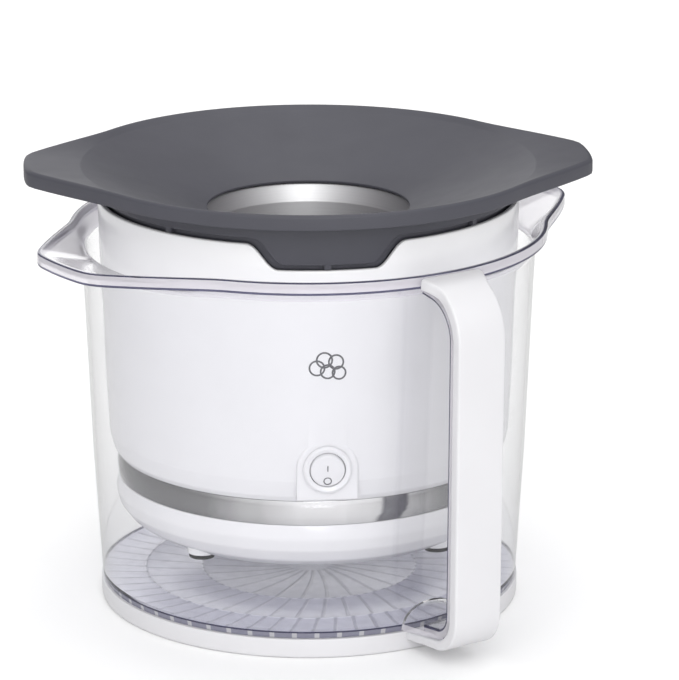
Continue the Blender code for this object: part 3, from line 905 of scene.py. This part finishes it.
def make_rocker():
    face = ROCKER_R * math.sin(math.radians(19))
    side = arc(0, 0, ROCKER_R, -22, 19, 8)
    outline = [(0.0, side[0][1], 0)] + [(r, z, 0) for r, z in side[:-1]]
    outline += [(side[-1][0], face, 0.5), (4.0, face + 0.12, 0), (0.0, face + 0.2, 0)]
    section = filleted(outline)

    def lay(x, y, z):
        return (x, -z, y)
    angles = [math.tau * k / 64 for k in range(64)]
    rocker = turned("rocker_button", lambda angle: section, angles, 0.0, lay)
    rocker.data.transform(rocker_matrix())
    place(rocker, "rocker", "white_plastic", WHITE, "rocker")
    circle = filleted([(1.35, 0.0, 0.1), (1.85, 0.0, 0.1), (1.85, 0.3, 0.1), (1.35, 0.3, 0.1)])

    def lay_low(x, y, z):
        return (x, -(face + z - 0.1), y - 4.7)
    mark = turned("mark_off", lambda angle: circle, angles, 0.0, lay_low)
    mark.data.transform(rocker_matrix())
    place(mark, "rocker", "dark_plastic", INK)
    bar = bar_mark("mark_on", 0.5, 2.9, (0.0, -(face + 0.12), 1.3))
    bar.data.transform(rocker_matrix())
    place(bar, "rocker", "dark_plastic", INK)


def bar_mark(name, width, tall, middle):
    bm = bmesh.new()
    size = Matrix.Diagonal((width * MM, 0.3 * MM, tall * MM, 1.0))
    spot = Matrix.Translation([v * MM for v in middle])
    bmesh.ops.create_cube(bm, size=1.0, matrix=spot @ size)
    bmesh.ops.bevel(bm, geom=bm.edges[:], offset=0.08 * MM, segments=2, affect='EDGES')
    mesh = bpy.data.meshes.new(name)
    bm.to_mesh(mesh)
    bm.free()
    finish_mesh(mesh)
    bar = bpy.data.objects.new(name, mesh)
    bpy.context.scene.collection.objects.link(bar)
    return bar


def make_pictogram():
    """A small popped kernel in grey ink on the housing's front."""
    puffs = ((0.0, 0.0, 3.4), (-4.6, 1.6, 3.6), (-1.4, 5.2, 3.7), (3.6, 4.3, 3.5), (4.9, -0.6, 3.2))
    bm = bmesh.new()
    for x, z, size in puffs:
        outline = []
        for reach in (size, size - 0.75):
            outline.append([bm.verts.new(on_housing(x + reach * math.cos(t), z + reach * math.sin(t)))
                            for t in [math.tau * k / 40 for k in range(40)]])
        outer, inner = outline
        for k in range(40):
            after = (k + 1) % 40
            bm.faces.new((outer[k], outer[after], inner[after], inner[k]))
    made = bmesh.ops.extrude_face_region(bm, geom=bm.faces[:])["geom"]
    moved = [v for v in made if isinstance(v, bmesh.types.BMVert)]
    bmesh.ops.translate(bm, vec=(0, -0.12 * MM, 0), verts=moved)
    mesh = bpy.data.meshes.new("popped_kernel_mark")
    bm.to_mesh(mesh)
    bm.free()
    finish_mesh(mesh)
    mark = bpy.data.objects.new("popped_kernel_mark", mesh)
    bpy.context.scene.collection.objects.link(mark)
    place(mark, "popper", "dark_plastic", INK)


def on_housing(x, z):
    """A point just inside the housing's front wall, from the middle of the mark."""
    height = MARK_Z + z
    radius = 92.0 + 0.8 * (height - 76.0) / 31.3 - 0.04
    return (x * MM, -math.sqrt(radius * radius - x * x) * MM, (height + FEET_Z) * MM)


# --- cover ------------------------------------------------------------------------------------

def cover_section(angle):
    rim = ear_reach(angle, COVER_EARS)
    x = FASCIA_R * math.cos(angle) if math.sin(angle) < 0 else 200.0
    widen = 2.9
    fill = notch_fill(math.copysign(abs(x) + widen, x))
    low = FASCIA_LOW - (FASCIA_LOW - TAB_LOW) * fill
    groove_low = HOUSING_TOP - (HOUSING_TOP - NOTCH_LOW) * notch_fill(x) + 0.4
    slope = (DISH_TOP - HOLE_TOP) / (DISH_R - HOLE_R)
    high = HOLE_TOP + slope * (FASCIA_R - HOLE_R) - COVER_WALL
    inside = HOLE_TOP + slope * (SKIRT_R - SKIRT_WALL - HOLE_R) - COVER_WALL
    skirt_low = min(SKIRT_LOW, groove_low - 1.0)
    return filleted([
        (HOLE_R, HOLE_TOP, 0.4), (60.0, HOLE_TOP + slope * (60.0 - HOLE_R), 0),
        (80.0, HOLE_TOP + slope * (80.0 - HOLE_R), 0), (DISH_R - 2.0, DISH_TOP - 0.7, 6.0),
        (rim - 1.6, COVER_TOP, 2.4), (rim, COVER_TOP - 1.2, 1.4), (rim, COVER_LOW, 0.6),
        (rim - 2.2, COVER_LOW, 0.5), (rim - 2.8, DISH_TOP - COVER_WALL, 0.8),
        (DISH_R - 1.5, DISH_TOP - COVER_WALL - 0.4, 1.0), (FASCIA_R, high, 0.5),
        (FASCIA_R, low, 0.45), (91.9, low, 0.2), (91.9, groove_low, 0.2), (SKIRT_R, groove_low, 0.2),
        (SKIRT_R, skirt_low, 0.3), (SKIRT_R - SKIRT_WALL, skirt_low, 0.3),
        (SKIRT_R - SKIRT_WALL, inside, 0.5), (52.0, HOLE_TOP + 0.1, 0.5),
        (50.9, CHAMBER_TOP + 0.4, 0.3), (HOLE_R, CHAMBER_TOP + 0.4, 0.3),
    ])


def make_cover():
    cover = turned("grey_tray", cover_section, front_angles(), FEET_Z)
    place(cover, "cover", "grey_plastic", GREY, "cover_tray")
    bm = bmesh.new()
    for k in range(SPACERS):
        low, high = HOUSING_TOP + 0.3, FASCIA_LOW + 0.6
        if k == FRONT_SPACER:
            low, high = NOTCH_LOW + 0.3, TAB_LOW + 0.6
        turn = Matrix.Rotation(math.tau * k / SPACERS, 4, 'Z')
        spot = Matrix.Translation((92.8 * MM, 0, (FEET_Z + (low + high) / 2) * MM))
        size = Matrix.Diagonal((2.8 * MM, 3.2 * MM, (high - low) * MM, 1.0))
        bmesh.ops.create_cube(bm, size=1.0, matrix=turn @ spot @ size)
    bmesh.ops.bevel(bm, geom=bm.edges[:], offset=0.3 * MM, segments=2, affect='EDGES')
    mesh = bpy.data.meshes.new("tray_spacers")
    bm.to_mesh(mesh)
    bm.free()
    finish_mesh(mesh)
    spacers = bpy.data.objects.new("tray_spacers", mesh)
    bpy.context.scene.collection.objects.link(spacers)
    place(spacers, "cover", "grey_plastic", GREY)


# --- inner pieces -----------------------------------------------------------------------------

KEPT = {
    "upper_deck": DARK, "heat_shield": STEEL, "fan_duct": DARK, "motor_mount": STEEL,
    "motor_case": STEEL, "motor_cap": DARK, "motor_shaft": STEEL, "fan_impeller": DARK,
    "fan_nut": STEEL, "heater_frame": MICA, "heater_coil": WIRE, "thermostat": STEEL,
    "thermal_fuse": STEEL, "rectifier_board": BOARD, "switch_body": DARK, "supply_lead": LEAD,
    "heater_lead": LEAD,
}


def dress_inner_nodes():
    for name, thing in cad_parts.items():
        if name in KEPT or "screw" in name:
            thing.data.materials.clear()
            thing.data.materials.append(KEPT.get(name, STEEL))


# --- stage ------------------------------------------------------------------------------------

def make_camera():
    data = bpy.data.cameras.new("camera")
    data.lens = 208.9
    data.sensor_width = 36.0
    data.clip_end = 50.0
    camera = bpy.data.objects.new("camera", data)
    bpy.context.scene.collection.objects.link(camera)
    camera.location = (-0.1499, -1.7135, 0.6157)
    camera.rotation_euler = (math.radians(73.861), 0.0, math.radians(-5.464))
    bpy.context.scene.camera = camera


def make_floor():
    size = 6.0
    mesh = bpy.data.meshes.new("floor")
    corners = [(-size, -size, 0), (size, -size, 0), (size, size, 0), (-size, size, 0)]
    mesh.from_pydata(corners, [], [(0, 1, 2, 3)])
    floor = bpy.data.objects.new("floor", mesh)
    bpy.context.scene.collection.objects.link(floor)
    n = Nodes("floor")
    n.colour_by_noise(n.noise(4.0), (0.87, 0.87, 0.87), (0.88, 0.88, 0.88))
    n.set(Roughness=0.8, Emission_Color=(1.0, 1.0, 1.0), Emission_Strength=0.06)
    mesh.materials.append(n.material)


def make_world():
    """Soft studio light: bright in front and above, dimmer at the sides; white behind the object."""
    world = bpy.data.worlds.new("studio")
    bpy.context.scene.world = world
    world.use_nodes = True
    tree = world.node_tree
    nodes = tree.nodes
    back = nodes["Background"]
    way = nodes.new("ShaderNodeTexCoord").outputs["Generated"]
    split = nodes.new("ShaderNodeSeparateXYZ")
    tree.links.new(way, split.inputs[0])

    def math_node(operation, first, second):
        made = nodes.new("ShaderNodeMath")
        made.operation = operation
        for socket, value in zip(made.inputs, (first, second)):
            if isinstance(value, float):
                socket.default_value = value
            else:
                tree.links.new(value, socket)
        return made.outputs[0]

    def sky(ambient, from_front, from_above):
        front = math_node('MAXIMUM', math_node('MULTIPLY', split.outputs[1], -from_front), 0.0)
        above = math_node('MAXIMUM', math_node('MULTIPLY', split.outputs[2], from_above), 0.0)
        return math_node('ADD', math_node('ADD', front, above), ambient)

    def choose(share, off, on):
        made = nodes.new("ShaderNodeMix")
        made.data_type = 'FLOAT'
        tree.links.new(share, made.inputs[0])
        for socket, value in ((made.inputs[2], off), (made.inputs[3], on)):
            if isinstance(value, float):
                socket.default_value = value
            else:
                tree.links.new(value, socket)
        return made.outputs[0]

    path = nodes.new("ShaderNodeLightPath")
    light = sky(0.225, 0.95, 0.82)
    mirrored = sky(0.13, 0.85, 0.35)
    reflected = math_node('GREATER_THAN', path.outputs["Glossy Depth"], 0.5)
    scattered = math_node('GREATER_THAN', path.outputs["Diffuse Depth"], 0.5)
    direct = math_node('LESS_THAN', math_node('ADD', reflected, scattered), 0.5)
    inside_wall = math_node('MULTIPLY', math_node('SUBTRACT', 1.0, scattered), 0.85)
    clear = math_node('MAXIMUM', direct, inside_wall)
    through = math_node('MULTIPLY', path.outputs["Is Transmission Ray"], clear)
    seen = math_node('MAXIMUM', path.outputs["Is Camera Ray"], through)
    strength = choose(seen, choose(reflected, light, mirrored), 1.0)
    tree.links.new(strength, back.inputs["Strength"])
    back.inputs["Color"].default_value = (1.0, 1.0, 1.0, 1.0)


def make_lamp(name, place_at, size, power):
    data = bpy.data.lights.new(name, 'AREA')
    data.shape = 'DISK'
    data.size = size
    data.energy = power
    lamp = bpy.data.objects.new(name, data)
    bpy.context.scene.collection.objects.link(lamp)
    lamp.location = place_at
    aim = Vector((0, 0, 0.1)) - Vector(place_at)
    lamp.rotation_euler = aim.to_track_quat('-Z', 'Y').to_euler()


def make_stage():
    make_camera()
    make_floor()
    make_world()
    make_lamp("key", (-0.02, -1.5, 1.7), 1.7, 6.4)
    make_lamp("top", (0.15, 0.6, 1.9), 1.6, 9.0)
    make_lamp("low_front", (0.0, -2.0, 0.75), 0.7, 4.8)
    make_lamp("low_back", (-0.3, 2.0, 0.5), 1.2, 5.0)
    bpy.context.scene.view_settings.view_transform = 'Standard'


make_stage()
make_base()
make_bowl()
make_foot_arch()
make_housing()
make_band()
make_pan()
make_feet()
make_chamber()
make_gland()
make_switch()
make_pictogram()
make_cover()
dress_inner_nodes()
